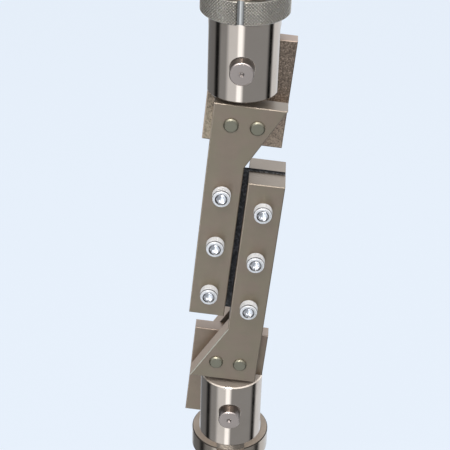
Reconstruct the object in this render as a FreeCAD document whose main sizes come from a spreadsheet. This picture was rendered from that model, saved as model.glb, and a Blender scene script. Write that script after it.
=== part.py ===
import FreeCAD, Part
import math
import os
import Sketcher

# Two-rail in-plane shear fixture, hung between two round pinned couplings.
# Millimetres and degrees. X is to the right, Y runs away from the front, Z is up along the load line.
# The origin is the middle of the specimen, and the load line is the Z axis.
# The lower half is the upper half turned by 180 degrees about Y.

DIMENSIONS = (
    ("lean_angle", 4.9, "tilt of the rails from the load line"),
    ("outer_edge", 34.5, "centre line to the straight outer edge of a rail"),
    ("gauge_gap", 5.4, "open width between the left and right rails"),
    ("bar_end", 70.0, "specimen centre to the free end of a bar"),
    ("shoulder_height", 84.0, "specimen centre to where the slanted edge of a head starts"),
    ("head_top", 141.2, "specimen centre to the end face of a head"),
    ("tip_reach", 27.0, "centre line to the tip of a head"),
    ("fixture_depth", 48.0, "front face of the front rails to back face of the back rails"),
    ("pad_end", 76.0, "specimen centre to the end of the raised clamping pad"),
    ("edge_break", 0.6, "chamfer on outer edges of rails and tongues"),
    ("specimen_thickness", 3.0, "laminate thickness"),
    ("specimen_length", 146.0, "laminate length along the rails"),
    ("specimen_shift", 1.5, "how far the laminate sits below centre"),
    ("side_inset", 0.5, "laminate edge inside the outer edge of a bar"),
    ("screw_pitch", 50.8, "spacing of the clamp screws"),
    ("screw_row_shift", 5.7, "middle screw of the left row above centre"),
    ("screw_diameter", 10.0, "clamp screw shank"),
    ("screw_clearance", 0.5, "radial play of the shank in front rail and laminate"),
    ("thread_clearance", 0.02, "radial play kept where the thread engages"),
    ("screw_grip", 45.0, "clamp screw length under the head"),
    ("screw_head_diameter", 16.0, "clamp screw head"),
    ("screw_head_height", 10.0, "clamp screw head"),
    ("screw_head_break", 0.7, "chamfer on the screw head"),
    ("hex_width", 8.0, "socket across flats"),
    ("hex_depth", 5.0, "socket depth"),
    ("tongue_thickness", 13.5, "loading tongue plate"),
    ("tongue_width", 68.6, "loading tongue plate"),
    ("tongue_edge", 27.2, "centre line to the tongue edge on the tip side"),
    ("tongue_foot", 98.3, "specimen centre to the near end of the tongue"),
    ("tongue_end", 196.4, "specimen centre to the far end of the tongue"),
    ("dowel_diameter", 12.7, "dowel through head, tongue and head"),
    ("dowel_clearance", 0.02, "radial play of a dowel in its holes"),
    ("dowel_spacing", 22.2, "between the two dowels of a head"),
    ("dowel_height", 122.6, "specimen centre to the dowel row"),
    ("dowel_proud", 2.0, "dowel end beyond the rail face"),
    ("dowel_break", 1.2, "chamfer on the dowel ends"),
    ("pin_height", 177.2, "specimen centre to a cross pin"),
    ("pin_diameter", 20.0, "cross pin"),
    ("pin_clearance", 0.07, "radial running play of a cross pin"),
    ("pin_length", 82.0, "cross pin"),
    ("pin_break", 0.7, "chamfer on the cross pin ends"),
    ("centre_drill_diameter", 2.4, "lathe centre hole in the pin ends"),
    ("centre_drill_mouth", 4.4, "lathe centre countersink"),
    ("centre_drill_depth", 3.4, "lathe centre hole"),
    ("coupling_diameter", 60.0, "round coupling body"),
    ("coupling_mouth", 147.0, "specimen centre to the open end of a coupling"),
    ("coupling_top", 244.0, "specimen centre to the machine end of a coupling"),
    ("coupling_break", 1.0, "chamfer on the coupling rims"),
    ("bore_break", 0.6, "chamfer on the mouths of the cross bore"),
    ("slot_top", 206.0, "specimen centre to the closed end of the fork slot"),
    ("slot_play", 0.35, "play on each side of the tongue in the fork slot"),
    ("slot_root_radius", 3.0, "fillet in the closed end of the fork slot"),
    ("thread_relief", 0.3, "radial play between a lock ring and its coupling"),
    ("socket_diameter", 30.0, "threaded socket for the machine"),
    ("socket_depth", 27.0, "threaded socket for the machine"),
    ("socket_break", 1.5, "countersink of the socket"),
    ("ring_wall", 7.0, "lock ring, bore to rim"),
    ("ring_height", 20.0, "lock ring"),
    ("ring_seat", 216.5, "specimen centre to the near face of a lock ring"),
    ("ring_break", 0.8, "chamfer on the lock ring edges"),
    ("ring_lip", 3.0, "rim left round the recess in the machine face of a lock ring"),
    ("ring_recess_depth", 3.0, "recess in the machine face of a lock ring"),
    ("spanner_slot_width", 6.0, "slots in the side of the upper ring"),
    ("spanner_slot_depth", 2.6, "slots in the side of the upper ring"),
    ("spanner_slot_angle", 4.7, "turn of the upper ring from the front"),
    ("face_slot_width", 26.5, "slots across the near face of the lower ring"),
    ("face_slot_depth", 6.0, "slots across the near face of the lower ring"),
    ("face_slot_angle", 3.8, "turn of the lower ring from the front"),
)

FRONT = "-Dim.fixture_depth / 2"
BACK = "Dim.fixture_depth / 2"
LAMINATE_FACE = "Dim.specimen_thickness / 2"
TONGUE_FACE = "Dim.tongue_thickness / 2"
TONGUE_MIDDLE = "(Dim.tongue_edge - Dim.tongue_width / 2)"
BAR_MIDDLE = "((Dim.outer_edge + Dim.gauge_gap / 2) / 2)"
RING_RIM = "(Dim.coupling_diameter / 2 + Dim.ring_wall)"

document = FreeCAD.newDocument("shear_test_fixture")
sheet = document.addObject("Spreadsheet::Sheet", "Dim")
for row, (alias, size, meaning) in enumerate(DIMENSIONS, 1):
    sheet.set("A%d" % row, alias)
    sheet.set("B%d" % row, str(size))
    sheet.set("C%d" % row, meaning)
    sheet.setAlias("B%d" % row, alias)
document.recompute()

bodies = []


def new_body(name):
    """A named body, kept in the list of pieces that are written out."""
    body = document.addObject("PartDesign::Body", name)
    body.Label = name
    bodies.append(body)
    return body


def number(body, expression):
    """The value that an expression of sheet sizes has now."""
    return float(body.evalExpression(expression))


def new_sketch(body, role, name, offset=("0", "0", "0")):
    """A sketch on one of the body's own origin planes, moved by three expressions."""
    plane = [part for part in body.Origin.OriginFeatures if part.Role == role][0]
    sketch = body.newObject("Sketcher::SketchObject", body.Name + "_" + name)
    sketch.AttachmentSupport = [(plane, "")]
    sketch.MapMode = "FlatFace"
    for axis, expression in zip("xyz", offset):
        if expression != "0":
            sketch.setExpression("AttachmentOffset.Base." + axis, expression)
    return sketch


def hold(sketch, kind, geometry, point, size, expression):
    """A dimension from the sketch origin to a point, driven by an expression."""
    index = sketch.addConstraint(Sketcher.Constraint(kind, -1, 1, geometry, point, size))
    sketch.setExpression("Constraints[%d]" % index, expression)


def draw_outline(sketch, corners):
    """A closed outline of straight lines through corners given as pairs of expressions."""
    body = sketch.getParentGeoFeatureGroup()
    points = [FreeCAD.Vector(number(body, x), number(body, y), 0) for x, y in corners]
    count = len(points)
    first = sketch.GeometryCount
    for index in range(count):
        sketch.addGeometry(Part.LineSegment(points[index], points[(index + 1) % count]), False)
    for index in range(count):
        following = first + (index + 1) % count
        sketch.addConstraint(Sketcher.Constraint("Coincident", first + index, 2, following, 1))
    for index, (x, y) in enumerate(corners):
        hold(sketch, "DistanceX", first + index, 1, points[index].x, x)
        hold(sketch, "DistanceY", first + index, 1, points[index].y, y)


def draw_circle(sketch, x, y, diameter):
    """A circle whose centre and diameter are expressions."""
    body = sketch.getParentGeoFeatureGroup()
    centre = FreeCAD.Vector(number(body, x), number(body, y), 0)
    radius = number(body, diameter) / 2
    index = sketch.addGeometry(Part.Circle(centre, FreeCAD.Vector(0, 0, 1), radius), False)
    hold(sketch, "DistanceX", index, 3, centre.x, x)
    hold(sketch, "DistanceY", index, 3, centre.y, y)
    size = sketch.addConstraint(Sketcher.Constraint("Diameter", index, 2 * radius))
    sketch.setExpression("Constraints[%d]" % size, diameter)


def negative(expression):
    return "-(" + expression + ")"


def depth_sketch(body, name, depth, x="0", z="0"):
    """A sketch in the X-Z plane at a depth along Y; its own normal points to the front."""
    return new_sketch(body, "XZ_Plane", name, (x, z, negative(depth)))


def slab(body, name, corners, front, back):
    """A plate with a straight-lined outline between two depths."""
    sketch = depth_sketch(body, name + "_outline", back)
    draw_outline(sketch, corners)
    pad = body.newObject("PartDesign::Pad", body.Name + "_" + name)
    pad.Profile = sketch
    pad.setExpression("Length", "(" + back + ") - (" + front + ")")
    document.recompute()
    return pad


def cut_through(body, name, sketch):
    """A pocket both ways through the whole piece."""
    before = body.Shape.Volume
    pocket = body.newObject("PartDesign::Pocket", body.Name + "_" + name)
    pocket.Profile = sketch
    pocket.Type = "ThroughAll"
    pocket.SideType = "Symmetric"
    document.recompute()
    check_cut(pocket, before)
    return pocket


def cut_depth(body, name, sketch, length, towards_normal):
    """A pocket of a stated depth, along the sketch normal or against it."""
    before = body.Shape.Volume
    pocket = body.newObject("PartDesign::Pocket", body.Name + "_" + name)
    pocket.Profile = sketch
    pocket.setExpression("Length", length)
    pocket.Reversed = towards_normal
    document.recompute()
    check_cut(pocket, before)
    return pocket


def check_cut(feature, before):
    if not feature.Shape.Volume < before:
        raise RuntimeError(feature.Name + " removed nothing")


def turn_profile(body, name, sketch):
    """A full turn of a profile about the sketch's upright axis."""
    revolution = body.newObject("PartDesign::Revolution", body.Name + "_" + name)
    revolution.Profile = sketch
    revolution.ReferenceAxis = (sketch, ["V_Axis"])
    revolution.Angle = 360
    document.recompute()
    return revolution


def break_edges(body, name, base, chosen, size):
    """A chamfer on the edges that a test picks."""
    names = ["Edge%d" % place for place, edge in enumerate(base.Shape.Edges, 1) if chosen(edge)]
    chamfer = body.newObject("PartDesign::Chamfer", body.Name + "_" + name)
    chamfer.Base = (base, names)
    chamfer.setExpression("Size", size)
    document.recompute()
    return chamfer


def lies_at_depth(depth):
    """A test for edges that lie flat in the plane at one depth."""
    def test(edge):
        box = edge.BoundBox
        return abs(box.YMin - depth) < 0.001 and abs(box.YMax - depth) < 0.001
    return test


def lean(body, upside_down=False):
    """Tilt a piece with the rails, or turn it on into the lower half."""
    body.Placement = FreeCAD.Placement(FreeCAD.Vector(0, 0, 0), FreeCAD.Rotation(FreeCAD.Vector(0, 1, 0), 5))
    turn = "Dim.lean_angle * 1deg"
    if upside_down:
        turn = turn + " + 180deg"
    body.setExpression("Placement.Rotation.Angle", turn)


def turn_over(body):
    """Turn a piece of the upper half into the lower half."""
    body.Placement = FreeCAD.Placement(FreeCAD.Vector(0, 0, 0), FreeCAD.Rotation(FreeCAD.Vector(0, 1, 0), 180))


# Rails: a straight bar with a head that widens over the load line to a pointed tip.

RAIL_OUTLINE = (
    ("-Dim.outer_edge", "Dim.head_top"),
    ("Dim.tip_reach", "Dim.head_top"),
    ("-Dim.gauge_gap / 2", "Dim.shoulder_height"),
    ("-Dim.gauge_gap / 2", "-Dim.bar_end"),
    ("-Dim.outer_edge", "-Dim.bar_end"),
)
SCREW_BORE = "Dim.screw_diameter + 2 * Dim.screw_clearance"
TAPPED_BORE = "Dim.screw_diameter + 2 * Dim.thread_clearance"
DOWEL_BORE = "Dim.dowel_diameter + 2 * Dim.dowel_clearance"
LOWEST_SCREW = "Dim.screw_row_shift - Dim.screw_pitch"


def cut_screw_row(body, diameter):
    """Three holes down the middle of a left bar."""
    sketch = depth_sketch(body, "screw_hole_circle", "0")
    draw_circle(sketch, negative(BAR_MIDDLE), LOWEST_SCREW, diameter)
    hole = cut_through(body, "screw_hole", sketch)
    row = body.newObject("PartDesign::LinearPattern", body.Name + "_screw_row")
    row.Originals = [hole]
    row.Direction = (sketch, ["V_Axis"])
    row.Occurrences = 3
    row.setExpression("Length", "2 * Dim.screw_pitch")
    body.Tip = row
    document.recompute()
    check_cut(row, hole.Shape.Volume)


def cut_dowel_pair(body):
    """Two dowel holes, either side of the middle of the tongue."""
    sketch = depth_sketch(body, "dowel_circles", "0")
    for side in ("-", "+"):
        across = TONGUE_MIDDLE + side + " Dim.dowel_spacing / 2"
        draw_circle(sketch, across, "Dim.dowel_height", DOWEL_BORE)
    cut_through(body, "dowel_holes", sketch)


def make_rail(name, in_front, upside_down):
    """One rail; its inner face steps back beyond the laminate to make room for the tongue."""
    body = new_body(name)
    if in_front:
        blank = slab(body, "blank", RAIL_OUTLINE, FRONT, negative(LAMINATE_FACE))
        outer = number(body, FRONT)
    else:
        blank = slab(body, "blank", RAIL_OUTLINE, LAMINATE_FACE, BACK)
        outer = number(body, BACK)
    break_edges(body, "edge_break", blank, lies_at_depth(outer), "Dim.edge_break")
    step = depth_sketch(body, "step_outline", "0")
    draw_outline(step, (
        ("-Dim.outer_edge - 1", "Dim.pad_end"),
        ("Dim.tip_reach + 1", "Dim.pad_end"),
        ("Dim.tip_reach + 1", "Dim.head_top + 1"),
        ("-Dim.outer_edge - 1", "Dim.head_top + 1"),
    ))
    cut_depth(body, "step", step, TONGUE_FACE, in_front)
    cut_screw_row(body, SCREW_BORE if in_front else TAPPED_BORE)
    cut_dowel_pair(body)
    lean(body, upside_down)


for half, upside_down in (("left", False), ("right", True)):
    make_rail("front_" + half + "_rail", True, upside_down)
    make_rail("back_" + half + "_rail", False, upside_down)


# Laminate specimen, clamped between the front and back rails.

def make_specimen():
    body = new_body("laminate_specimen")
    side = "(Dim.outer_edge - Dim.side_inset)"
    top = "(Dim.specimen_length / 2 - Dim.specimen_shift)"
    bottom = "(-Dim.specimen_length / 2 - Dim.specimen_shift)"
    corners = ((negative(side), bottom), (side, bottom), (side, top), (negative(side), top))
    slab(body, "sheet", corners, negative(LAMINATE_FACE), LAMINATE_FACE)
    sketch = depth_sketch(body, "screw_circles", "0")
    for place in (-1, 0, 1):
        along = "Dim.screw_row_shift + %d * Dim.screw_pitch" % place
        draw_circle(sketch, negative(BAR_MIDDLE), along, SCREW_BORE)
        draw_circle(sketch, BAR_MIDDLE, negative(along), SCREW_BORE)
    cut_through(body, "screw_holes", sketch)
    lean(body)


make_specimen()


# Loading tongues, held between the rail heads by two dowels and hung on the cross pin.

PIN_BORE = "Dim.pin_diameter + 2 * Dim.pin_clearance"


def make_tongue(name, upside_down):
    body = new_body(name)
    far_edge = "Dim.tongue_edge - Dim.tongue_width"
    corners = (
        (far_edge, "Dim.tongue_foot"),
        ("Dim.tongue_edge", "Dim.tongue_foot"),
        ("Dim.tongue_edge", "Dim.tongue_end"),
        (far_edge, "Dim.tongue_end"),
    )
    blank = slab(body, "blank", corners, negative(TONGUE_FACE), TONGUE_FACE)
    face = number(body, TONGUE_FACE)

    def on_either_face(edge):
        return lies_at_depth(face)(edge) or lies_at_depth(-face)(edge)

    break_edges(body, "edge_break", blank, on_either_face, "Dim.edge_break")
    cut_dowel_pair(body)
    sketch = depth_sketch(body, "pin_circle", "0")
    across = "-Dim.pin_height * sin(Dim.lean_angle)"
    along = "Dim.pin_height * cos(Dim.lean_angle)"
    draw_circle(sketch, across, along, PIN_BORE)
    cut_through(body, "pin_hole", sketch)
    lean(body, upside_down)


make_tongue("upper_tongue_plate", False)
make_tongue("lower_tongue_plate", True)


# Round pieces whose axis runs front to back: dowels, cross pins and clamp screws.

def turned_along_depth(body, across, along, corners):
    """A turned piece about an axis along Y; corners are radius and depth."""
    sketch = new_sketch(body, "XY_Plane", "half_section", (across, "0", along))
    draw_outline(sketch, corners)
    turn_profile(body, "turning", sketch)


def make_dowel(name, side, upside_down):
    body = new_body(name)
    radius = "Dim.dowel_diameter / 2"
    end = "(Dim.fixture_depth / 2 + Dim.dowel_proud)"
    corners = (
        ("0", negative(end)),
        (radius + " - Dim.dowel_break", negative(end)),
        (radius, negative(end) + " + Dim.dowel_break"),
        (radius, end + " - Dim.dowel_break"),
        (radius + " - Dim.dowel_break", end),
        ("0", end),
    )
    across = TONGUE_MIDDLE + side + " Dim.dowel_spacing / 2"
    turned_along_depth(body, across, "Dim.dowel_height", corners)
    lean(body, upside_down)


for half, upside_down in (("upper", False), ("lower", True)):
    make_dowel(half + "_outer_dowel", "-", upside_down)
    make_dowel(half + "_tip_dowel", "+", upside_down)


def make_cross_pin(name, upside_down):
    """A ground pin with lathe centres in both ends."""
    body = new_body(name)
    radius = "Dim.pin_diameter / 2"
    drill = "Dim.centre_drill_diameter / 2"
    mouth = "Dim.centre_drill_mouth / 2"
    end = "Dim.pin_length / 2"
    floor = "(Dim.pin_length / 2 - Dim.centre_drill_depth)"
    throat = "(Dim.pin_length / 2 - (Dim.centre_drill_mouth - Dim.centre_drill_diameter) / 2 * sqrt(3))"
    corners = (
        ("0", negative(floor)),
        (drill, negative(floor)),
        (drill, negative(throat)),
        (mouth, negative(end)),
        (radius + " - Dim.pin_break", negative(end)),
        (radius, "Dim.pin_break - " + end),
        (radius, end + " - Dim.pin_break"),
        (radius + " - Dim.pin_break", end),
        (mouth, end),
        (drill, throat),
        (drill, floor),
        ("0", floor),
    )
    turned_along_depth(body, "0", "Dim.pin_height", corners)
    if upside_down:
        turn_over(body)


make_cross_pin("upper_cross_pin", False)
make_cross_pin("lower_cross_pin", True)


def make_clamp_screw(name, place, upside_down):
    """A socket head cap screw, head to the front, threaded into the back rail."""
    body = new_body(name)
    across = negative(BAR_MIDDLE)
    along = "Dim.screw_row_shift + %d * Dim.screw_pitch" % place
    radius = "Dim.screw_diameter / 2"
    head = "Dim.screw_head_diameter / 2"
    seat = "-Dim.fixture_depth / 2"
    face = "(-Dim.fixture_depth / 2 - Dim.screw_head_height)"
    end = "(Dim.screw_grip - Dim.fixture_depth / 2)"
    corners = (
        ("0", face),
        (head + " - Dim.screw_head_break", face),
        (head, face + " + Dim.screw_head_break"),
        (head, seat),
        (radius, seat),
        (radius, end),
        ("0", end),
    )
    turned_along_depth(body, across, along, corners)
    socket = depth_sketch(body, "socket_outline", face, across, along)
    flat = "Dim.hex_width / 2"
    half_side = "Dim.hex_width / 2 / sqrt(3)"
    point = "Dim.hex_width / sqrt(3)"
    draw_outline(socket, (
        (flat, half_side),
        ("0", point),
        ("-" + flat, half_side),
        ("-" + flat, "-" + half_side),
        ("0", "-" + point),
        (flat, "-" + half_side),
    ))
    cut_depth(body, "socket", socket, "Dim.hex_depth", False)
    lean(body, upside_down)


for place, level in ((1, "top"), (0, "middle"), (-1, "bottom")):
    make_clamp_screw("left_" + level + "_clamp_screw", place, False)
for place, level in ((-1, "top"), (0, "middle"), (1, "bottom")):
    make_clamp_screw("right_" + level + "_clamp_screw", place, True)


# Couplings: forked over the tongue at the open end, threaded for the machine at the other.

def make_coupling(name, upside_down):
    body = new_body(name)
    radius = "Dim.coupling_diameter / 2"
    thread = "(Dim.coupling_diameter / 2 - Dim.thread_relief)"
    socket = "Dim.socket_diameter / 2"
    socket_floor = "(Dim.coupling_top - Dim.socket_depth)"
    half_section = new_sketch(body, "XZ_Plane", "half_section")
    draw_outline(half_section, (
        ("0", "Dim.coupling_mouth"),
        (radius + " - Dim.coupling_break", "Dim.coupling_mouth"),
        (radius, "Dim.coupling_mouth + Dim.coupling_break"),
        (radius, "Dim.ring_seat"),
        (thread, "Dim.ring_seat"),
        (thread, "Dim.coupling_top - Dim.coupling_break"),
        (thread + " - Dim.coupling_break", "Dim.coupling_top"),
        (socket + " + Dim.socket_break", "Dim.coupling_top"),
        (socket, "Dim.coupling_top - Dim.socket_break"),
        (socket, socket_floor),
        ("0", socket_floor),
    ))
    turn_profile(body, "turning", half_section)

    slot = new_sketch(body, "YZ_Plane", "slot_outline")
    side = "(Dim.tongue_thickness / 2 + Dim.slot_play)"
    below = "(Dim.coupling_mouth - Dim.coupling_diameter / 4)"
    draw_outline(slot, (
        (negative(side), below),
        (side, below),
        (side, "Dim.slot_top"),
        (negative(side), "Dim.slot_top"),
    ))
    slotted = cut_through(body, "fork_slot", slot)

    half_slot = number(body, side)
    slot_top = number(body, "Dim.slot_top")

    def in_slot_root(edge):
        box = edge.BoundBox
        level = abs(box.ZMin - slot_top) < 0.001 and abs(box.ZMax - slot_top) < 0.001
        straight = abs(box.YMax - box.YMin) < 0.001
        return level and straight and abs(abs(box.YMax) - half_slot) < 0.001

    names = ["Edge%d" % place for place, edge in enumerate(slotted.Shape.Edges, 1) if in_slot_root(edge)]
    fillet = body.newObject("PartDesign::Fillet", body.Name + "_slot_root")
    fillet.Base = (slotted, names)
    fillet.setExpression("Radius", "Dim.slot_root_radius")
    document.recompute()

    bore = depth_sketch(body, "cross_bore_circle", "0")
    draw_circle(bore, "0", "Dim.pin_height", PIN_BORE)
    drilled = cut_through(body, "cross_bore", bore)

    rim = number(body, radius)
    pin_height = number(body, "Dim.pin_height")
    bore_radius = number(body, PIN_BORE) / 2

    def on_bore_mouth(edge):
        for point in edge.discretize(9):
            across_axis = math.hypot(point.x, point.y)
            across_bore = math.hypot(point.x, point.z - pin_height)
            if abs(across_axis - rim) > 0.01 or abs(across_bore - bore_radius) > 0.01:
                return False
        return True

    break_edges(body, "bore_break", drilled, on_bore_mouth, "Dim.bore_break")
    if upside_down:
        turn_over(body)


make_coupling("upper_coupling", False)
make_coupling("lower_coupling", True)


# Lock rings: run on the thread of a coupling and tighten against the machine.

def make_ring_blank(body):
    bore = "(Dim.coupling_diameter / 2)"
    recess = "(" + RING_RIM + " - Dim.ring_lip)"
    near = "Dim.ring_seat"
    far = "(Dim.ring_seat + Dim.ring_height)"
    half_section = new_sketch(body, "XZ_Plane", "half_section")
    draw_outline(half_section, (
        (bore, near),
        (RING_RIM + " - Dim.ring_break", near),
        (RING_RIM, near + " + Dim.ring_break"),
        (RING_RIM, far + " - Dim.ring_break"),
        (RING_RIM + " - Dim.ring_break", far),
        (recess, far),
        (recess, far + " - Dim.ring_recess_depth"),
        (bore, far + " - Dim.ring_recess_depth"),
    ))
    turn_profile(body, "turning", half_section)


def repeat_behind(body, feature):
    """A second cut straight across the ring."""
    pair = body.newObject("PartDesign::PolarPattern", body.Name + "_slot_pair")
    pair.Originals = [feature]
    pair.Axis = ([part for part in body.Origin.OriginFeatures if part.Role == "Z_Axis"][0], [""])
    pair.Angle = 360
    pair.Occurrences = 2
    body.Tip = pair
    document.recompute()
    check_cut(pair, feature.Shape.Volume)


def make_upper_ring():
    """The knurled ring, with two spanner slots down its side."""
    body = new_body("upper_lock_ring")
    make_ring_blank(body)
    sketch = new_sketch(body, "XY_Plane", "slot_outline", ("0", "0", "Dim.ring_seat"))
    inner = negative("(" + RING_RIM + " - Dim.spanner_slot_depth)")
    outer = negative("(" + RING_RIM + " + Dim.spanner_slot_depth)")
    half_width = "Dim.spanner_slot_width / 2"
    draw_outline(sketch, (
        (negative(half_width), outer),
        (half_width, outer),
        (half_width, inner),
        (negative(half_width), inner),
    ))
    repeat_behind(body, cut_depth(body, "spanner_slot", sketch, "Dim.ring_height", True))
    body.Placement = FreeCAD.Placement(FreeCAD.Vector(0, 0, 0), FreeCAD.Rotation(FreeCAD.Vector(0, 0, 1), -5))
    body.setExpression("Placement.Rotation.Angle", "Dim.spanner_slot_angle * 1deg")


def make_lower_ring():
    """The plain ring, with two wide slots across its near face."""
    body = new_body("lower_lock_ring")
    make_ring_blank(body)
    sketch = new_sketch(body, "XZ_Plane", "slot_outline")
    turned = FreeCAD.Rotation(FreeCAD.Vector(0, -1, 0), 4)
    sketch.AttachmentOffset = FreeCAD.Placement(FreeCAD.Vector(0, 0, 0), turned)
    sketch.setExpression("AttachmentOffset.Rotation.Angle", "Dim.face_slot_angle * 1deg")
    half_width = "Dim.face_slot_width / 2"
    floor = "(Dim.ring_seat + Dim.face_slot_depth)"
    draw_outline(sketch, (
        (negative(half_width), "Dim.ring_seat - Dim.face_slot_depth"),
        (half_width, "Dim.ring_seat - Dim.face_slot_depth"),
        (half_width, floor),
        (negative(half_width), floor),
    ))
    cut_through(body, "face_slot", sketch)
    turn_over(body)


make_upper_ring()
make_lower_ring()

document.recompute()
for item in document.Objects:
    if "Invalid" in item.State or "Error" in item.State:
        raise RuntimeError(item.Name + " did not build: " + str(item.State))
for body in bodies:
    shape = body.Shape
    if shape.isNull() or not shape.isValid() or len(shape.Solids) != 1:
        raise RuntimeError(body.Label + " is not one valid solid")

os.makedirs("parts", exist_ok=True)
for body in bodies:
    body.Shape.exportStep("parts/" + body.Label + ".step")
    box = body.Shape.BoundBox
    print("%-26s %8.0f mm3  x %.1f..%.1f  y %.1f..%.1f  z %.1f..%.1f" % (
        body.Label, body.Shape.Volume, box.XMin, box.XMax, box.YMin, box.YMax, box.ZMin, box.ZMax))
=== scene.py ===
import math

import bpy
from mathutils import Matrix, Vector


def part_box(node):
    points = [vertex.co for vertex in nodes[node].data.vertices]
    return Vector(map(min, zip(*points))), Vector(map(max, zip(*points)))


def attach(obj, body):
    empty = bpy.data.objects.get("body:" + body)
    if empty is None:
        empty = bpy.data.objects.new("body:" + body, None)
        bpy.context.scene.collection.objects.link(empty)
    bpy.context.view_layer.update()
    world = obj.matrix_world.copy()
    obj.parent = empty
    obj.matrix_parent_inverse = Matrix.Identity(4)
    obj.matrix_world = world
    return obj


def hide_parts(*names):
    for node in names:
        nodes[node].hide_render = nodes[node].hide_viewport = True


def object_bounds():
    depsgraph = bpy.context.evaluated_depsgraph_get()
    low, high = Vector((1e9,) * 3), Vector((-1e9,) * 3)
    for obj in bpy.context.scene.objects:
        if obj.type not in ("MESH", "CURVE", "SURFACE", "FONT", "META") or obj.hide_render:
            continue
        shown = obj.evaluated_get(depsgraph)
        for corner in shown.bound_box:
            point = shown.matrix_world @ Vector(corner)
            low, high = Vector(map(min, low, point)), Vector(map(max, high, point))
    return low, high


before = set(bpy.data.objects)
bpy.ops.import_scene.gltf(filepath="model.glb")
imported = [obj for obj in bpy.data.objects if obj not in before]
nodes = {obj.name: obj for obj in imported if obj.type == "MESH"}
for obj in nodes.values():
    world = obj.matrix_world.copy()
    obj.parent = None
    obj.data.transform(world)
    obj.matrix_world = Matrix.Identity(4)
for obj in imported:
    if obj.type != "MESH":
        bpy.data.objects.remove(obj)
cad_low, cad_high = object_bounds()
MM = 0.001

# Sizes that the added pieces share with the solids, in metres or radians
LEAN = math.radians(4.9)
PIN_HEIGHT = 177.2 * MM
THREAD_START = 216.5 * MM
THREAD_PITCH = 1.5 * MM
RING_BORE_RADIUS = 30.0 * MM
RING_SLOT_TURN = math.radians(-4.7)
RING_SLOT_WIDTH = 6.0 * MM
RING_SLOT_DEPTH = 2.6 * MM
RING_SLOT_FLOOR_RADIUS = 5.0 * MM
RING_BREAK = 0.8 * MM
RING_RIM = 3.0 * MM
RING_RECESS = 3.0 * MM
SCREW_RADIUS = 5.0 * MM

# The diamond knurl of the upper lock ring
KNURL_PITCH = 2.6 * MM
KNURL_DEPTH = 0.55 * MM
KNURL_TIP_RADIUS = 37.0 * MM
KNURL_POINTS = 7
KNURL_ROWS = 72
KNURL_SLOPE = 1.25
KNURL_SHARP_ANGLE = math.radians(28)
KNURL_EDGE_STEP = 0.1 * MM

# The head, socket and thread of the clamp screws
SCREW_FACETS = 288
SCREW_SHARP_ANGLE = math.radians(32)
HEAD_RIDGES = 48
HEAD_RIDGE_DEPTH = 0.16 * MM
HEAD_CORNER = 1.1 * MM
HEAD_CORNER_STEPS = 5
HEAD_INSET = 0.4 * MM
GROOVE_FROM = 1.3 * MM
GROOVE_TO = 2.3 * MM
GROOVE_SLOPE = 0.2 * MM
GROOVE_DEPTH = 0.3 * MM
RIDGES_END = 1.1 * MM
FOOT_HEIGHT = 0.8 * MM
FOOT_STEP = 0.05 * MM
FOOT_BREAK = 0.5 * MM
HEX_WIDTH = 8.0 * MM
HEX_DEPTH = 5.0 * MM
HEX_LEAD_IN = 0.75 * MM
HEX_FLOOR_BREAK = 0.3 * MM
HEX_FLOOR_DROP = 0.1 * MM
DRILL_TIP_RADIUS = 0.15 * MM
DRILL_TIP_DEPTH = 0.9 * MM
COUNTERSINK_RADIUS = 5.4 * MM
COUNTERSINK_STEP_RADIUS = 4.9 * MM
COUNTERSINK_DEPTH = 0.6 * MM
SHANK_CLEARANCE = 0.05 * MM
SEAT_GAP = 0.02 * MM
THREAD_TURNS = 7
THREAD_LENGTH = 11.5 * MM
THREAD_RUN_IN = 0.5 * MM
THREAD_DEPTH = 0.8 * MM
END_TAPER = 0.6 * MM
END_BREAK = 1.4 * MM
END_CENTRE_RADIUS = 0.2 * MM

# Values that the finishes share; a scale is about the number of a texture's features in a metre
ALONG_THE_RAILS = (0, -LEAN, 0)
PLATE_METALLIC = 0.85
WORN_METALLIC = 0.5
STREAK_STRETCH = 0.06
HUE_SCALE = 60.0
MOTTLE_SCALE = 90.0
PIT_SCALE = 800.0
SMEAR_SCALE = 45.0
WEAVE_SCALE = 260.0
TOW_SCALE = 430.0
RESIN_SCALE = 400.0
GRIME_SCALE = 160.0
TARNISH_SCALE = 420.0
PLATE_EDGE = 0.7 * MM
SCREW_EDGE = 0.15 * MM


# Node helpers

def linear(red, green, blue):
    """A colour given as 0 to 255 screen values, as the linear colour of a shader."""
    def one(value):
        value = value / 255
        return value / 12.92 if value <= 0.04045 else ((value + 0.055) / 1.055) ** 2.4
    return (one(red), one(green), one(blue), 1.0)


def brighter(colour, factor, tint=(1.0, 1.0, 1.0)):
    """A colour times a factor and a tint, kept within white."""
    return tuple(min(1.0, channel * factor * t) for channel, t in zip(colour[:3], tint)) + (1.0,)


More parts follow.
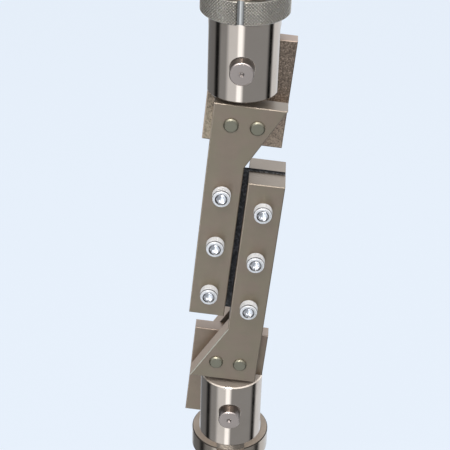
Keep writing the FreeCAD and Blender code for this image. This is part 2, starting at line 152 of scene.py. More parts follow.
class Graph:
    """A material's node tree, with short calls for the nodes used here."""

    def __init__(self, tree):
        self.tree = tree
        self.tree.nodes.clear()

    def add(self, kind, **settings):
        node = self.tree.nodes.new(kind)
        for key, value in settings.items():
            setattr(node, key, value)
        return node

    def link(self, source, target):
        self.tree.links.new(source, target)

    def math(self, operation, first, second=0.0):
        node = self.add("ShaderNodeMath", operation=operation)
        for socket, value in zip(node.inputs, (first, second)):
            if isinstance(value, (int, float)):
                socket.default_value = value
            else:
                self.link(value, socket)
        return node.outputs[0]

    def times(self, first, second):
        return self.math("MULTIPLY", first, second)

    def coordinates(self):
        return self.add("ShaderNodeTexCoord").outputs["Object"]

    def mapped(self, vector, scale=(1, 1, 1), turn=(0, 0, 0), move=(0, 0, 0)):
        node = self.add("ShaderNodeMapping")
        node.inputs["Location"].default_value = move
        node.inputs["Rotation"].default_value = turn
        node.inputs["Scale"].default_value = scale
        self.link(vector, node.inputs["Vector"])
        return node.outputs["Vector"]

    def noise(self, vector, scale, detail=2.0, roughness=0.5):
        node = self.add("ShaderNodeTexNoise")
        node.inputs["Scale"].default_value = scale
        node.inputs["Detail"].default_value = detail
        node.inputs["Roughness"].default_value = roughness
        self.link(vector, node.inputs["Vector"])
        return node.outputs["Fac"]

    def span(self, value, low, high, out_low=0.0, out_high=1.0):
        """A value's way from low to high, as a way from out_low to out_high."""
        node = self.add("ShaderNodeMapRange")
        self.link(value, node.inputs["Value"])
        names = ("From Min", "From Max", "To Min", "To Max")
        for name, number in zip(names, (low, high, out_low, out_high)):
            node.inputs[name].default_value = number
        return node.outputs["Result"]

    def between(self, value, low_start, low_full, high_full, high_end):
        """1 where a value is between two limits, easing to 0 on both sides."""
        return self.times(self.span(value, low_start, low_full), self.span(value, high_end, high_full))

    def mix(self, factor, first, second):
        node = self.add("ShaderNodeMix", data_type="RGBA")
        self.link(factor, node.inputs[0])
        for socket, value in ((node.inputs[6], first), (node.inputs[7], second)):
            if isinstance(value, tuple):
                socket.default_value = value
            else:
                self.link(value, socket)
        return node.outputs[2]

    def bump(self, height, distance, under=None):
        node = self.add("ShaderNodeBump")
        node.inputs["Distance"].default_value = distance
        self.link(height, node.inputs["Height"])
        if under is not None:
            self.link(under, node.inputs["Normal"])
        return node.outputs["Normal"]

    def split(self, vector):
        """The three components of a vector."""
        node = self.add("ShaderNodeSeparateXYZ")
        self.link(vector, node.inputs[0])
        return node.outputs["X"], node.outputs["Y"], node.outputs["Z"]

    def normal(self):
        """The direction that the face looks in."""
        return self.add("ShaderNodeNewGeometry").outputs["Normal"]

    def facing(self, axis):
        """How squarely a face looks along an axis, either way: 0 to 1."""
        return self.math("ABSOLUTE", self.split(self.normal())["XYZ".index(axis)])

    def rounded(self, radius):
        """A normal that rounds sharp edges a little."""
        node = self.add("ShaderNodeBevel", samples=4)
        node.inputs["Radius"].default_value = radius
        return node.outputs["Normal"]

    def sharp_edges(self, rounded_normal):
        """1 on the sharp edges that the rounded normal softens, 0 on open faces."""
        node = self.add("ShaderNodeVectorMath", operation="DOT_PRODUCT")
        self.link(rounded_normal, node.inputs[0])
        self.link(self.normal(), node.inputs[1])
        return self.span(node.outputs["Value"], 0.995, 0.9)

    def turned_vector(self, axis, centre):
        """Distance from an axis and place along it, for lathe marks; axis is Y or Z."""
        place = self.mapped(self.coordinates(), move=tuple(-c for c in centre))
        across, back, up = self.split(place)
        other, along = (up, back) if axis == "Y" else (back, up)
        squares = self.math("ADD", self.math("POWER", across, 2.0), self.math("POWER", other, 2.0))
        joined = self.add("ShaderNodeCombineXYZ")
        self.link(self.math("SQRT", squares), joined.inputs["X"])
        self.link(along, joined.inputs["Y"])
        return joined.outputs["Vector"]


def new_material(name, metallic):
    material = bpy.data.materials.new(name)
    material.use_nodes = True
    graph = Graph(material.node_tree)
    shader = graph.add("ShaderNodeBsdfPrincipled")
    shader.inputs["Metallic"].default_value = metallic
    output = graph.add("ShaderNodeOutputMaterial")
    graph.link(shader.outputs["BSDF"], output.inputs["Surface"])
    return material, graph, shader


# Ground plate: the rails and the tongues

def plate_hue(graph, along, colour, fade):
    """A slow drift of hue; a fade also changes the colour across the plate and darkens its top."""
    drift = graph.noise(graph.mapped(along, move=(0.3, 0.1, 0.2)), HUE_SCALE)
    greenish = brighter(colour, 1.0, (0.985, 1.015, 0.98))
    reddish = brighter(colour, 1.0, (1.02, 0.99, 1.01))
    base = graph.mix(graph.span(drift, 0.4, 0.6), greenish, reddish)
    if fade is not None:
        across, _, up = graph.split(along)
        # The top of the plate is painted darker.
        darkened_top = brighter(colour, 0.33)
        base = graph.mix(graph.span(across, 12 * MM, -12 * MM), base, fade)
        base = graph.mix(graph.span(up, 118 * MM, 150 * MM), base, darkened_top)
    return base


def plate_marks(graph, along, streaks, base, colour, contrast):
    """Dark mottle and bright streaks."""
    dull = brighter(colour, 0.55)
    bright = brighter(colour, 1.35)
    mottle = graph.noise(along, MOTTLE_SCALE, 3.0, 0.6)
    base = graph.mix(graph.span(mottle, 0.3, 0.7, 0.0, contrast), base, dull)
    return graph.mix(graph.span(streaks, 0.35, 0.65, 0.0, contrast), base, bright)


def plate_pits(graph, pits, base, colour, speckle):
    """Dark pits with bright grains between them."""
    hollow = brighter(colour, 0.2)
    grain = brighter(colour, 1.7)
    base = graph.mix(graph.span(pits, 0.50, 0.62, 0.0, speckle), base, hollow)
    return graph.mix(graph.span(pits, 0.46, 0.36, 0.0, speckle * 0.7), base, grain)


def plate_face_shading(graph, base, colour, end_shade):
    """Shoulders, chamfers and ends painted lighter or darker by the way they face, as the photo shows."""
    # Sloping faces and end faces get painted highlights, lighter by the way they face.
    slope_highlight = brighter(colour, 2.15, (1.06, 1.0, 1.0))
    end_face_light = brighter(colour, end_shade, (0.96, 1.0, 1.08))
    tilt = graph.facing("Z")
    base = graph.mix(graph.span(tilt, 0.3, 0.6), base, slope_highlight)
    chamfer = graph.between(graph.facing("Y"), 0.3, 0.6, 0.85, 0.95)
    right, _, up = graph.split(graph.normal())
    shoulder = graph.math("SUBTRACT", up, right)
    # each row: which way the chamfer looks, where the shade begins, where it is full, the shade
    chamfers = (
        (up, 0.3, 0.6, 1.4),
        (right, -0.2, -0.4, 2.6),
        (up, -0.3, -0.6, 0.35),
        (shoulder, 0.82, 0.88, 5.5),
    )
    # Chamfers painted lighter or darker by the way they look: painted highlights and painted shade.
    for reach, start, full, shade in chamfers:
        facing_there = graph.times(chamfer, graph.span(reach, start, full))
        base = graph.mix(facing_there, base, brighter(colour, shade, (0.98, 0.99, 1.03)))
    return graph.mix(graph.span(tilt, 0.85, 0.97), base, end_face_light)


def plate_edge_light(graph, base, colour, soft, edge_mask):
    """Painted shade on sharp edges, and painted highlights where they look left or up."""
    painted_edge_shade = brighter(colour, 0.5)
    left_edge_highlight = brighter(colour, 3.2, (0.94, 0.99, 1.06))
    top_edge_highlight = brighter(colour, 1.5, (0.94, 0.99, 1.06))
    right, _, up = graph.split(soft)
    # Every sharp edge is painted darker as shade; edges that look left or up get painted highlights.
    base = graph.mix(graph.times(edge_mask, 0.45), base, painted_edge_shade)
    base = graph.mix(graph.times(edge_mask, graph.span(right, -0.05, -0.25)), base, left_edge_highlight)
    return graph.mix(graph.times(edge_mask, graph.span(up, 0.05, 0.25)), base, top_edge_highlight)


def ground_steel(name, colour, roughness, contrast, grain_scale, grain_depth, end_shade,
                 speckle=0.0, fade=None):
    """Ground plate: fine streaks along the rails over a soft mottle, with painted shade and highlights on
    the edges.
    """
    material, graph, shader = new_material(name, PLATE_METALLIC)
    along = graph.mapped(graph.coordinates(), turn=ALONG_THE_RAILS)
    stretched = graph.mapped(along, scale=(1.0, 1.0, STREAK_STRETCH))
    streaks = graph.noise(stretched, grain_scale, 3.0, 0.6)
    base = plate_hue(graph, along, colour, fade)
    base = plate_marks(graph, along, streaks, base, colour, contrast)
    height = streaks
    if speckle:
        height = graph.noise(along, PIT_SCALE, 4.0, 0.7)
        base = plate_pits(graph, height, base, colour, speckle)
    base = plate_face_shading(graph, base, colour, end_shade)
    soft = graph.rounded(PLATE_EDGE)
    edge_mask = graph.sharp_edges(soft)
    base = plate_edge_light(graph, base, colour, soft, edge_mask)
    polish = graph.span(streaks, 0.3, 0.7, roughness - 0.05, roughness + 0.07)
    graph.link(base, shader.inputs["Base Color"])
    graph.link(graph.span(edge_mask, 0.0, 1.0, PLATE_METALLIC, WORN_METALLIC), shader.inputs["Metallic"])
    graph.link(polish, shader.inputs["Roughness"])
    graph.link(graph.bump(height, grain_depth, under=soft), shader.inputs["Normal"])
    return material


# Turned steel: couplings, rings, pins, dowels and sockets

def turned_face_shading(graph, base, colour, soft, side_shade, chamfer_highlight, crown_highlight):
    """Round sides of a part turned about Y with painted shade, its chamfer and domed top with painted
    highlights, by the way they face.
    """
    if side_shade != 1.0:
        # Round sides painted darker as shade.
        side = graph.span(graph.facing("Y"), 0.45, 0.3)
        base = graph.mix(side, base, brighter(colour, side_shade))
    if chamfer_highlight:
        # The chamfer painted brighter as a highlight.
        chamfer = graph.between(graph.facing("Y"), 0.45, 0.6, 0.85, 0.98)
        base = graph.mix(chamfer, base, brighter(colour, chamfer_highlight))
    if crown_highlight:
        # The upward-looking rounding painted brighter as a highlight.
        crown = graph.span(graph.split(soft)[2], 0.15, 0.5)
        base = graph.mix(crown, base, brighter(colour, crown_highlight, (1.02, 1.0, 0.99)))
    return base


def lathe_polish(graph, shader, base, polish, colour, end_shade, break_shade, rim_highlight):
    """Sides that stretch reflections into upright bands; rougher, duller ends with painted shade, chamfers
    with painted shade, and a painted highlight on the upper rim.
    """
    steepness = graph.facing("Z")
    steep = graph.span(steepness, 0.3, 0.6)
    ends = graph.span(steepness, 0.8, 0.95)
    # Chamfers and end faces painted darker as shade.
    base = graph.mix(steep, base, brighter(colour, break_shade))
    base = graph.mix(ends, base, brighter(colour, end_shade))
    polish = graph.math("ADD", polish, graph.times(steep, 0.15))
    polish = graph.math("ADD", polish, graph.times(ends, 0.3))
    dull = ends
    if rim_highlight:
        # The upper rim painted brighter as a highlight.
        rim = graph.between(graph.split(graph.normal())[2], 0.3, 0.6, 0.85, 0.95)
        base = graph.mix(rim, base, brighter(colour, rim_highlight))
        dull = graph.math("MAXIMUM", ends, rim)
    graph.link(graph.span(dull, 0.0, 1.0, 1.0, 0.55), shader.inputs["Metallic"])
    graph.link(graph.span(ends, 0.0, 1.0, 1.0, 0.0), shader.inputs["Anisotropic"])
    shader.inputs["Anisotropic Rotation"].default_value = 0.25
    tangent = graph.add("ShaderNodeTangent", direction_type="RADIAL", axis="Z")
    graph.link(tangent.outputs["Tangent"], shader.inputs["Tangent"])
    return base, polish


def turned_steel(name, colour, roughness, axis="Z", centre=(0, 0, 0), mark_scale=1400.0,
                 mark_depth=0.004 * MM, contrast=0.25, metallic=1.0, edge=0.3 * MM,
                 side_shade=1.0, chamfer_highlight=0.0, crown_highlight=0.0,
                 thread_from=None, polished=False, end_shade=1.0, break_shade=0.8, rim_highlight=0.0):
    """Turned or centre-ground steel: marks that run round the axis on sides and faces alike."""
    material, graph, shader = new_material(name, metallic)
    marks = graph.noise(graph.turned_vector(axis, centre), mark_scale, 3.0, 0.65)
    smears = graph.noise(graph.coordinates(), SMEAR_SCALE, 3.0, 0.6)
    base = graph.mix(graph.span(marks, 0.3, 0.7, 0.0, contrast), colour, brighter(colour, 0.6))
    smeared = brighter(colour, 0.8, (1.0, 0.98, 0.94))
    base = graph.mix(graph.span(smears, 0.35, 0.75, 0.0, 0.2), base, smeared)
    polish = graph.span(smears, 0.3, 0.7, roughness - 0.03, roughness + 0.04)
    soft = graph.rounded(edge)
    normal = graph.bump(marks, mark_depth, under=soft)
    base = turned_face_shading(graph, base, colour, soft, side_shade, chamfer_highlight, crown_highlight)
    if thread_from is not None:
        height = graph.split(graph.coordinates())[2]
        far = graph.span(graph.math("ABSOLUTE", height), thread_from, thread_from + 0.1 * MM)
        wave = graph.math("SINE", graph.times(height, 2 * math.pi / THREAD_PITCH))
        normal = graph.bump(graph.times(far, wave), 0.3 * MM, under=normal)
        base = graph.mix(far, base, brighter(colour, 0.42, (1.04, 1.0, 0.94)))
        polish = graph.math("ADD", polish, graph.times(far, 0.2))
    if polished:
        base, polish = lathe_polish(graph, shader, base, polish, colour,
                                    end_shade, break_shade, rim_highlight)
    graph.link(base, shader.inputs["Base Color"])
    graph.link(polish, shader.inputs["Roughness"])
    graph.link(normal, shader.inputs["Normal"])
    return material


# Laminate, knurled grip and screws

def woven_laminate():
    """Black carbon laminate with a fine weave and dull resin."""
    material, graph, shader = new_material("woven_laminate", 0.0)
    along = graph.mapped(graph.coordinates(), turn=ALONG_THE_RAILS)
    weave = graph.add("ShaderNodeTexWave", wave_type="BANDS", bands_direction="DIAGONAL")
    weave.inputs["Scale"].default_value = WEAVE_SCALE
    weave.inputs["Distortion"].default_value = 1.5
    graph.link(along, weave.inputs["Vector"])
    base = graph.mix(weave.outputs["Fac"], linear(22, 22, 24), linear(58, 57, 57))
    tows = graph.noise(graph.mapped(along, move=(0.5, 0.2, 0.1)), TOW_SCALE)
    base = graph.mix(graph.span(tows, 0.5, 0.62, 0.0, 0.9), base, linear(98, 98, 102))
    # Up-facing end faces painted near black: the laminate's own dark, with painted shade in the gap
    # between the rails.
    cut_end = graph.span(graph.facing("Z"), 0.5, 0.9)
    base = graph.mix(cut_end, base, linear(8, 8, 8))
    resin = graph.noise(along, RESIN_SCALE, 3.0)
    graph.link(base, shader.inputs["Base Color"])
    graph.link(graph.span(cut_end, 0.0, 1.0, 0.5, 0.05), shader.inputs["Specular IOR Level"])
    graph.link(graph.span(resin, 0.3, 0.7, 0.38, 0.6), shader.inputs["Roughness"])
    graph.link(graph.bump(weave.outputs["Fac"], 0.03 * MM), shader.inputs["Normal"])
    return material


def knurled_steel():
    """Knurled grip: painted highlights on the tips over painted shade in the grooves."""
    colour = linear(198, 190, 178)
    material, graph, shader = new_material("knurled_steel", 0.75)
    place = graph.coordinates()
    grime = graph.noise(place, GRIME_SCALE, 4.0, 0.65)
    radius = graph.split(graph.turned_vector("Z", (0, 0, 0)))[0]
    # Tips painted bright as a highlight and grooves painted dark as shade.
    tips = graph.span(radius, KNURL_TIP_RADIUS - 0.4 * MM, KNURL_TIP_RADIUS - 0.05 * MM)
    base = graph.mix(tips, brighter(colour, 0.2, (1.02, 1.0, 0.94)), brighter(colour, 1.65))
    base = graph.mix(graph.span(grime, 0.4, 0.8, 0.0, 0.3), base, brighter(colour, 0.45))
    # The recess inside the rim is painted dark as shade.
    inside = graph.span(radius, KNURL_TIP_RADIUS - 2.9 * MM, KNURL_TIP_RADIUS - 3.0 * MM)
    base = graph.mix(inside, base, linear(70, 60, 50))
    graph.link(base, shader.inputs["Base Color"])
    graph.link(graph.span(grime, 0.3, 0.7, 0.2, 0.34), shader.inputs["Roughness"])
    graph.link(graph.bump(grime, 0.004 * MM), shader.inputs["Normal"])
    return material


def bright_screw():
    """Bright plated fastener with a little tarnish, and painted shade on the faces that look along its
    axis.
    """
    colour = linear(242, 242, 243)
    material, graph, shader = new_material("bright_screw", 0.3)
    tarnish = graph.noise(graph.coordinates(), TARNISH_SCALE, 4.0, 0.6)
    face = graph.facing("Y")
    base = graph.mix(graph.span(tarnish, 0.45, 0.75, 0.0, 0.4), colour, brighter(colour, 0.55))
    # Faces that look along the axis painted darker as shade.
    base = graph.mix(graph.span(face, 0.8, 0.98, 0.0, 0.7), base, brighter(colour, 0.55))
    graph.link(base, shader.inputs["Base Color"])
    graph.link(graph.span(face, 0.4, 0.8, 0.05, 0.35), shader.inputs["Metallic"])
    graph.link(graph.span(tarnish, 0.3, 0.7, 0.2, 0.36), shader.inputs["Roughness"])
    soft = graph.rounded(SCREW_EDGE)
    graph.link(graph.bump(tarnish, 0.012 * MM, under=soft), shader.inputs["Normal"])
    return material


RAIL = ground_steel("rail_steel", linear(137, 124, 108), roughness=0.42, contrast=0.12,
                    grain_scale=1500.0, grain_depth=0.004 * MM, end_shade=1.32)
TONGUE_ROUGH = ground_steel("tongue_rough", linear(158, 139, 122), roughness=0.5, contrast=0.3,
                            grain_scale=900.0, grain_depth=0.05 * MM, end_shade=1.3,
                            speckle=0.75, fade=linear(185, 171, 146))
TONGUE_SMOOTH = ground_steel("tongue_smooth", linear(138, 122, 107), roughness=0.42, contrast=0.2,
                             grain_scale=1200.0, grain_depth=0.006 * MM, end_shade=1.6)
COUPLING = turned_steel("coupling_steel", linear(214, 199, 184), roughness=0.11, contrast=0.08,
                        mark_depth=0.0015 * MM, thread_from=THREAD_START, polished=True,
                        end_shade=0.8, break_shade=0.55, rim_highlight=1.5)
PLAIN_RING = turned_steel("plain_ring_steel", linear(198, 182, 165), roughness=0.13, contrast=0.15,
                          mark_depth=0.002 * MM, polished=True, end_shade=0.56, break_shade=0.12)
SLOT = turned_steel("slot_steel", linear(196, 192, 186), roughness=0.22, contrast=0.15)
# Painted shade for the screw's countersink ring and the groove behind its head's rounding.
SOCKET_SHADE = turned_steel("socket_shade_steel", linear(112, 110, 108), roughness=0.3, contrast=0.3, axis="Y",
                      metallic=0.9)
# Painted highlight for the inside of the hex socket.
HEX_HIGHLIGHT = turned_steel("hex_highlight_steel", linear(238, 238, 240), roughness=0.2, contrast=0.3, axis="Y",
                   metallic=0.8)
DOWEL = turned_steel("dowel_steel", linear(126, 122, 106), roughness=0.4, contrast=0.12, axis="Y",
                     mark_scale=500.0, metallic=0.8, edge=1.0 * MM, crown_highlight=1.6)
LAMINATE = woven_laminate()
KNURL = knurled_steel()
SCREW = bright_screw()


# Finishes of the solids

def dress(node_name, material):
    """Give a solid its finish in every material slot."""
    data = nodes[node_name].data
    data.materials.clear()
    data.materials.append(material)
    for polygon in data.polygons:
        polygon.material_index = 0


def dress_solids():
    for side in ("front_left", "back_left", "front_right", "back_right"):
        dress(side + "_rail", RAIL)
    dress("upper_tongue_plate", TONGUE_ROUGH)
    dress("lower_tongue_plate", TONGUE_SMOOTH)
    dress("lower_lock_ring", PLAIN_RING)
    dress("laminate_specimen", LAMINATE)
    for half, height in (("upper", PIN_HEIGHT), ("lower", -PIN_HEIGHT)):
        dress(half + "_coupling", COUPLING)
        for place in ("outer", "tip"):
            dress(half + "_" + place + "_dowel", DOWEL)
        pin = half + "_cross_pin"
        dress(pin, turned_steel(pin + "_steel", linear(158, 146, 138), roughness=0.3, contrast=0.2,
                                axis="Y", centre=(0, 0, height), mark_scale=1100.0,
                                side_shade=0.65, chamfer_highlight=2.3))


def keep_bands_clean():
    """Keep the pieces nearest the couplings out of the bands that the polished sides reflect."""
    unmirrored = ("upper_tongue_plate", "lower_tongue_plate", "upper_cross_pin", "lower_cross_pin",
                  "lower_lock_ring")
    for node_name in unmirrored:
        nodes[node_name].visible_glossy = False


# Pieces made as meshes

def new_piece(name, points, faces, material, sharp_angle):
    mesh = bpy.data.meshes.new(name)
    mesh.from_pydata(points, [], faces)
    mesh.validate()
    mesh.materials.append(material)
    for polygon in mesh.polygons:
        polygon.use_smooth = True
    mesh.set_sharp_from_angle(angle=sharp_angle)
    piece = bpy.data.objects.new(name, mesh)
    bpy.context.scene.collection.objects.link(piece)
    return piece


def bridge(first, second, count):
    """Faces between two closed rings of points that start at two indices."""
    faces = []
    for index in range(count):
        after = (index + 1) % count
        faces.append((first + index, first + after, second + after, second + index))
    return faces


# Clamp screws

SCREW_ANGLES = [2 * math.pi * index / SCREW_FACETS for index in range(SCREW_FACETS)]


def screw_ring(radii, depth):
    return [(r * math.cos(a), depth, r * math.sin(a)) for r, a in zip(radii, SCREW_ANGLES)]


def circle(radius, depth):
    return screw_ring([radius] * SCREW_FACETS, depth)


def ridged(radius, depth):
    """A circle with the ridges of a screw head's side."""
    radii = [radius - HEAD_RIDGE_DEPTH * (0.5 - 0.5 * math.cos(HEAD_RIDGES * a)) for a in SCREW_ANGLES]
    return screw_ring(radii, depth)


def hexagon(depth):
    """The outline of the socket, from the distance to its walls at each angle."""
    sixth = math.pi / 3
    radii = [HEX_WIDTH / 2 / math.cos((a % sixth) - sixth / 2) for a in SCREW_ANGLES]
    return screw_ring(radii, depth)


def socket_rings(face):
    """The drilled cone, the hexagon and its countersink, from the floor out to the head's face."""
    floor = face + HEX_DEPTH
    return [
        circle(DRILL_TIP_RADIUS, floor + DRILL_TIP_DEPTH),
        circle(HEX_WIDTH / 2 - HEX_FLOOR_BREAK, floor + HEX_FLOOR_DROP),
        hexagon(floor),
        hexagon(face + HEX_LEAD_IN),
        circle(COUNTERSINK_STEP_RADIUS, face + COUNTERSINK_DEPTH),
        circle(COUNTERSINK_RADIUS, face),
    ]


def corner_rings(face, head_radius):
    """The rounding between the head's face and its side."""
    middle = head_radius - HEAD_INSET - HEAD_CORNER
    rings = []
    for step in range(HEAD_CORNER_STEPS + 1):
        turn = math.pi / 2 * step / HEAD_CORNER_STEPS
        radius = middle + HEAD_CORNER * math.sin(turn)
        rings.append(circle(radius, face + HEAD_CORNER - HEAD_CORNER * math.cos(turn)))
    return rings


def side_rings(face, seat, head_radius):
    """The groove behind the rounding, the ridged side and the underside of the head."""
    shoulder = head_radius - HEAD_INSET
    neck = shoulder - GROOVE_DEPTH
    return [
        circle(shoulder, face + GROOVE_FROM),
        circle(neck, face + GROOVE_FROM + GROOVE_SLOPE),
        circle(neck, face + GROOVE_TO - GROOVE_SLOPE),
        ridged(head_radius, face + GROOVE_TO),
        ridged(head_radius, seat - RIDGES_END),
        circle(head_radius - FOOT_STEP, seat - FOOT_HEIGHT),
        circle(head_radius - FOOT_BREAK, seat - SEAT_GAP),
    ]


def shank_rings(seat, end):
    """The plain shank and the rolled thread at its end."""
    crest = SCREW_RADIUS - SHANK_CLEARANCE
    root = SCREW_RADIUS - THREAD_DEPTH
    rings = [circle(crest, seat - SEAT_GAP), circle(crest, end - THREAD_LENGTH - THREAD_RUN_IN)]
    for index in range(THREAD_TURNS):
        start = end - THREAD_LENGTH + index * THREAD_PITCH
        rings.append(circle(root, start))
        rings.append(circle(crest, start + THREAD_PITCH / 2))
    rings.append(circle(root, end - END_TAPER))
    rings.append(circle(SCREW_RADIUS - END_BREAK, end))
    rings.append(circle(END_CENTRE_RADIUS, end))
    return rings


def screw_mesh(name, centre, head_face, seat, end, head_radius):
    """A socket head cap screw along Y, with a knurled head and a rolled thread."""
    count = SCREW_FACETS
    rings = socket_rings(head_face)
    rings += corner_rings(head_face, head_radius)
    groove = len(rings)
    rings += side_rings(head_face, seat, head_radius)
    rings += shank_rings(seat, end)
    points = [(x + centre[0], y, z + centre[2]) for ring in rings for x, y, z in ring]
    faces = []
    for level in range(len(rings) - 1):
        faces += bridge(level * count, (level + 1) * count, count)
    faces.append(tuple(range(count)))
    last = (len(rings) - 1) * count
    faces.append(tuple(reversed(range(last, last + count))))
    piece = new_piece(name, points, faces, SCREW, SCREW_SHARP_ANGLE)
    piece.data.materials.append(SOCKET_SHADE)
    piece.data.materials.append(HEX_HIGHLIGHT)
    # each row: the material slot, then the levels between which it is used
    # The hex socket's walls and floor take the painted highlight; the countersink ring and the groove take
    # the painted shade.
    for slot_number, first, after in ((2, 0, 3), (1, 3, 5), (1, groove, groove + 3)):
        for index in range(first * count, after * count):
            piece.data.polygons[index].material_index = slot_number
    return piece


def make_screws():
    for side in ("left", "right"):
        for level in ("top", "middle", "bottom"):
            node = side + "_" + level + "_clamp_screw"
            low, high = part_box(node)
            centre = (low + high) / 2
            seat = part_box("front_" + side + "_rail")[0].y
            piece = screw_mesh(node + "_detailed", centre, low.y, seat, high.y, (high.x - low.x) / 2)
            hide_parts(node)
            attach(piece, "rail_assembly")


# Knurled lock ring

def triangle_wave(value):
    """0 at whole numbers, 1 half way between them."""
    return 1 - abs(2 * (value % 1.0) - 1)


def slot_floor(angle, rim):
    """Radius of the hollow slot floor at an angle, or None outside both slots."""
    slot_half = RING_SLOT_WIDTH / 2 / rim
    for centre in (-math.pi / 2 + RING_SLOT_TURN, math.pi / 2 + RING_SLOT_TURN):
        off = (angle - centre + math.pi) % (2 * math.pi) - math.pi
        if abs(off) < slot_half:
            hollow = math.sqrt(RING_SLOT_FLOOR_RADIUS ** 2 - (off * rim) ** 2)
            return rim - RING_SLOT_DEPTH + RING_SLOT_FLOOR_RADIUS - hollow
    return None


def make_knurled_ring():
    """The upper lock ring: diamond knurl round the side, two spanner slots, recessed machine face."""
    low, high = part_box("upper_lock_ring")
    rim = high.y
    bottom, top = low.z, high.z
    band_low = bottom + RING_BREAK
    band_high = top - RING_BREAK
    count = round(2 * math.pi * rim / KNURL_PITCH) * KNURL_POINTS
    angles = [2 * math.pi * index / count for index in range(count)]
    floors = [slot_floor(angle, rim) for angle in angles]

    def ring(radius, height, cut=True):
        radii = [min(radius, floor) if cut and floor else radius for floor in floors]
        return [(r * math.cos(a), r * math.sin(a), height) for r, a in zip(radii, angles)]

    def knurled(height):
        points = []
        along = (height - band_low) / KNURL_PITCH
        for index, angle in enumerate(angles):
            radius = floors[index]
            if radius is None:
                around = index / KNURL_POINTS
                ridge = min(triangle_wave(around + along), triangle_wave(around - along))
                radius = rim - KNURL_DEPTH + KNURL_DEPTH * min(1.0, KNURL_SLOPE * ridge)
            points.append((radius * math.cos(angle), radius * math.sin(angle), height))
        return points

    rings = [ring(RING_BORE_RADIUS, bottom, False), ring(rim - RING_BREAK, bottom)]
    rings.append(ring(rim - KNURL_EDGE_STEP, band_low))
    for row in range(KNURL_ROWS + 1):
        rings.append(knurled(band_low + (band_high - band_low) * row / KNURL_ROWS))
    rings.append(ring(rim - KNURL_EDGE_STEP, band_high))
    rings.append(ring(rim - RING_BREAK, top))
    rings.append(ring(rim - RING_RIM, top, False))
    rings.append(ring(rim - RING_RIM, top - RING_RECESS, False))
    rings.append(ring(RING_BORE_RADIUS, top - RING_RECESS, False))
    points = [point for each in rings for point in each]
    faces = []
    for level in range(len(rings)):
        faces += bridge(level * count, ((level + 1) % len(rings)) * count, count)
    piece = new_piece("upper_lock_ring_knurled", points, faces, KNURL, KNURL_SHARP_ANGLE)
    piece.data.materials.append(SLOT)
    for polygon in piece.data.polygons:
        if all(floors[vertex % count] for vertex in polygon.vertices):
            polygon.material_index = 1
    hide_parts("upper_lock_ring")
    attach(piece, "upper_lock_ring")


# Floor, lamps, world and camera

PALE = linear(231, 240, 251)
FLOOR_HALF_WIDTH = 4.0
FLOOR_DROP = 0.3
FLOOR_GLOW = 0.93


def make_floor():
    """A wide pale floor below the object, which the camera sees as one even tone."""
    half = FLOOR_HALF_WIDTH
    height = cad_low.z - FLOOR_DROP
    corners = [(-half, -half, height), (half, -half, height), (half, half, height), (-half, half, height)]
    mesh = bpy.data.meshes.new("floor")
    mesh.from_pydata(corners, [], [(0, 1, 2, 3)])
    floor = bpy.data.objects.new("floor", mesh)
    bpy.context.scene.collection.objects.link(floor)
    material = bpy.data.materials.new("pale_floor")
    material.use_nodes = True
    graph = Graph(material.node_tree)
    paint = graph.add("ShaderNodeBsdfDiffuse")
    paint.inputs["Color"].default_value = PALE
    glow = graph.add("ShaderNodeEmission")
    glow.inputs["Color"].default_value = PALE
    path = graph.add("ShaderNodeLightPath")
    blend = graph.add("ShaderNodeMixShader")
    graph.link(graph.times(path.outputs["Is Camera Ray"], FLOOR_GLOW), blend.inputs[0])
    graph.link(paint.outputs[0], blend.inputs[1])
    graph.link(glow.outputs[0], blend.inputs[2])
    output = graph.add("ShaderNodeOutputMaterial")
    graph.link(blend.outputs[0], output.inputs["Surface"])
    mesh.materials.append(material)
    floor.visible_glossy = False


# The studio that polished metal mirrors: the pale background with plain cards of its own tone before it.
# A shade is a share of the brightest card, and the background is as the camera sees it.
BARE_BACKGROUND = 0.5
WHITE_CARD = 1.0
GREY_CARD = 0.2
DARK_CARD = 0.12
BLACK_FLAG = 0.005
STUDIO_STRENGTH = 2.0

# Turn from the front in degrees, then shade
STUDIO_BANDS = (
    (-180, BARE_BACKGROUND), (-155, BARE_BACKGROUND), (-145, DARK_CARD), (-105, DARK_CARD),
    (-95, BLACK_FLAG), (-85, BLACK_FLAG), (-75, GREY_CARD), (-55, GREY_CARD),
    (-45, BARE_BACKGROUND), (-20, BARE_BACKGROUND), (-15, WHITE_CARD), (-5, WHITE_CARD),
    (5, GREY_CARD), (80, GREY_CARD), (90, BLACK_FLAG), (100, BLACK_FLAG),
    (110, BARE_BACKGROUND), (180, BARE_BACKGROUND),
)

SKY = linear(236, 242, 252)
SKY_STRENGTH = 1.5
SKY_RISE = (0.45, 0.7)
BACK_LEVEL = (-0.3, -0.1)
BACK_REACH = (0.35, 0.7)
BACK_SHARE = 0.7
SOFT_STRENGTH = 0.6


def background(graph, colour, strength):
    shade = graph.add("ShaderNodeBackground")
    shade.inputs["Color"].default_value = colour
    shade.inputs["Strength"].default_value = strength
    return shade


def blended(graph, factor, first, second):
    shader = graph.add("ShaderNodeMixShader")
    graph.link(factor, shader.inputs[0])
    graph.link(first.outputs[0], shader.inputs[1])
    graph.link(second.outputs[0], shader.inputs[2])
    return shader


def studio_walls(graph, right, back):
    """The background and its cards as upright bands, by the turn from the front."""
    turn = graph.math("ARCTAN2", right, graph.times(back, -1.0))
    ramp = graph.add("ShaderNodeValToRGB")
    graph.link(graph.span(turn, -math.pi, math.pi), ramp.inputs["Fac"])
    stops = ramp.color_ramp.elements
    stops.remove(stops[-1])
    for index, (degrees, shade) in enumerate(STUDIO_BANDS):
        stop = stops[0] if index == 0 else stops.new((degrees + 180) / 360)
        stop.color = brighter(PALE, shade)
    walls = background(graph, PALE, STUDIO_STRENGTH)
    graph.link(ramp.outputs["Color"], walls.inputs["Color"])
    return walls


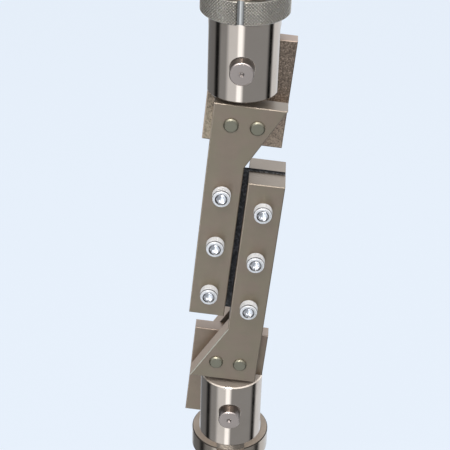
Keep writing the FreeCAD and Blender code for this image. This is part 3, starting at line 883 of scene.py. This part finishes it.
def make_world():
    """Polished metal mirrors the cards, and the sky above and low behind; the camera sees a pale tone."""
    world = bpy.data.worlds.new("studio")
    bpy.context.scene.world = world
    world.use_nodes = True
    graph = Graph(world.node_tree)
    right, back, up = graph.split(graph.add("ShaderNodeTexCoord").outputs["Generated"])
    walls = studio_walls(graph, right, back)
    sky = background(graph, SKY, SKY_STRENGTH)
    high_up = graph.span(up, *SKY_RISE)
    behind = graph.times(graph.span(up, *BACK_LEVEL), graph.span(back, *BACK_REACH, 0.0, BACK_SHARE))
    mirrored = blended(graph, graph.math("MAXIMUM", high_up, behind), walls, sky)
    soft = background(graph, (1.0, 1.0, 1.0, 1.0), SOFT_STRENGTH)
    seen = background(graph, PALE, 1.0)
    path = graph.add("ShaderNodeLightPath")
    unseen = blended(graph, path.outputs["Is Glossy Ray"], soft, mirrored)
    final = blended(graph, path.outputs["Is Camera Ray"], unseen, seen)
    output = graph.add("ShaderNodeOutputWorld")
    graph.link(final.outputs[0], output.inputs["Surface"])


# Lamps: turn from the front and rise in degrees, distance and size in metres, watts, shown in mirrors
LAMPS = (
    ("key_lamp", -14, 54, 1.6, 0.5, 14, True),
    ("fill_lamp", 60, 20, 2.0, 1.2, 8, False),
    ("back_lamp", 170, 55, 1.8, 0.9, 12, False),
)


def outward(turn, rise):
    """The direction with a turn from the front and a rise above the floor, in radians."""
    return Vector((math.sin(turn) * math.cos(rise), -math.cos(turn) * math.cos(rise), math.sin(rise)))


def make_lamp(name, turn, rise, distance, size, watts, mirrored):
    """A soft square lamp aimed at the middle of the object; polished metal may be kept from showing it."""
    lamp = bpy.data.lights.new(name, "AREA")
    lamp.shape = "SQUARE"
    lamp.size = size
    lamp.energy = watts
    holder = bpy.data.objects.new(name, lamp)
    bpy.context.scene.collection.objects.link(holder)
    holder.visible_glossy = mirrored
    away = outward(math.radians(turn), math.radians(rise))
    holder.location = away * distance
    holder.rotation_mode = "QUATERNION"
    holder.rotation_quaternion = (-away).to_track_quat("-Z", "Y")


# Camera in the place from which the photograph was taken
CAMERA_RISE = math.radians(30.938)
CAMERA_TURN = math.radians(2.114)
CAMERA_ROLL = math.radians(1.778)
CAMERA_DISTANCE = 1.10424
CAMERA_TARGET = Vector((-0.010984, 0.0, 0.012848))
FOCAL_PIXELS = 1237.87
FRAME_PIXELS = 450
SENSOR_WIDTH = 36.0


def make_camera():
    data = bpy.data.cameras.new("camera")
    camera = bpy.data.objects.new("camera", data)
    bpy.context.scene.collection.objects.link(camera)
    back = outward(CAMERA_TURN, CAMERA_RISE)
    right = Vector((math.cos(CAMERA_TURN), math.sin(CAMERA_TURN), 0.0))
    up = back.cross(right)
    rolled_right = math.cos(CAMERA_ROLL) * right + math.sin(CAMERA_ROLL) * up
    rolled_up = math.cos(CAMERA_ROLL) * up - math.sin(CAMERA_ROLL) * right
    turn = Matrix((rolled_right, rolled_up, back)).transposed()
    camera.matrix_world = Matrix.Translation(CAMERA_TARGET + back * CAMERA_DISTANCE) @ turn.to_4x4()
    data.sensor_width = SENSOR_WIDTH
    data.lens = FOCAL_PIXELS / FRAME_PIXELS * SENSOR_WIDTH
    data.clip_start = 0.05
    data.clip_end = 20.0
    bpy.context.scene.camera = camera


dress_solids()
keep_bands_clean()
make_screws()
make_knurled_ring()
make_floor()
make_world()
for lamp_values in LAMPS:
    make_lamp(*lamp_values)
make_camera()
bpy.context.scene.view_settings.view_transform = "Standard"
